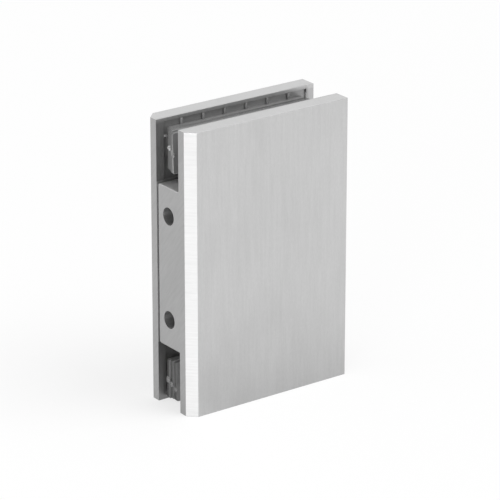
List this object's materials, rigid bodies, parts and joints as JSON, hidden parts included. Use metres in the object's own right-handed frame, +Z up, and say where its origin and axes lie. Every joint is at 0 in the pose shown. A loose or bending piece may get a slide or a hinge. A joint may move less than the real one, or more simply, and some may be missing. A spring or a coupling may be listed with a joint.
{
  "type": "glass to wall bracket",
  "caption": "Upright rectangular clamp that fixes the edge of a glass pane to a wall, with a loose rear plate, soft pads and packers.",
  "frame": {"origin": "on the wall, in the middle of the slot's width and of the bracket's height", "axes": "+X from the wall out along the glass, +Y from the front plate to the clamp plate, +Z up"},
  "size_m": [0.058, 0.0226, 0.09],
  "materials": {
    "plate_steel": "fine satin grain",
    "screw_steel": "plain turned steel",
    "pad": "soft grey moulding, slightly glossy",
    "packer": "smooth grey sheet, faintly clear"
  },
  "bodies": {
    "root": {"bracket_body": "plate_steel", "clamp_plate": "plate_steel", "front_pad": "pad", "rear_pad": "pad", "packer_1": "packer", "packer_2": "packer", "packer_3": "packer", "clamp_screw_upper": "screw_steel", "clamp_screw_lower": "screw_steel"}
  },
  "joints": []
}
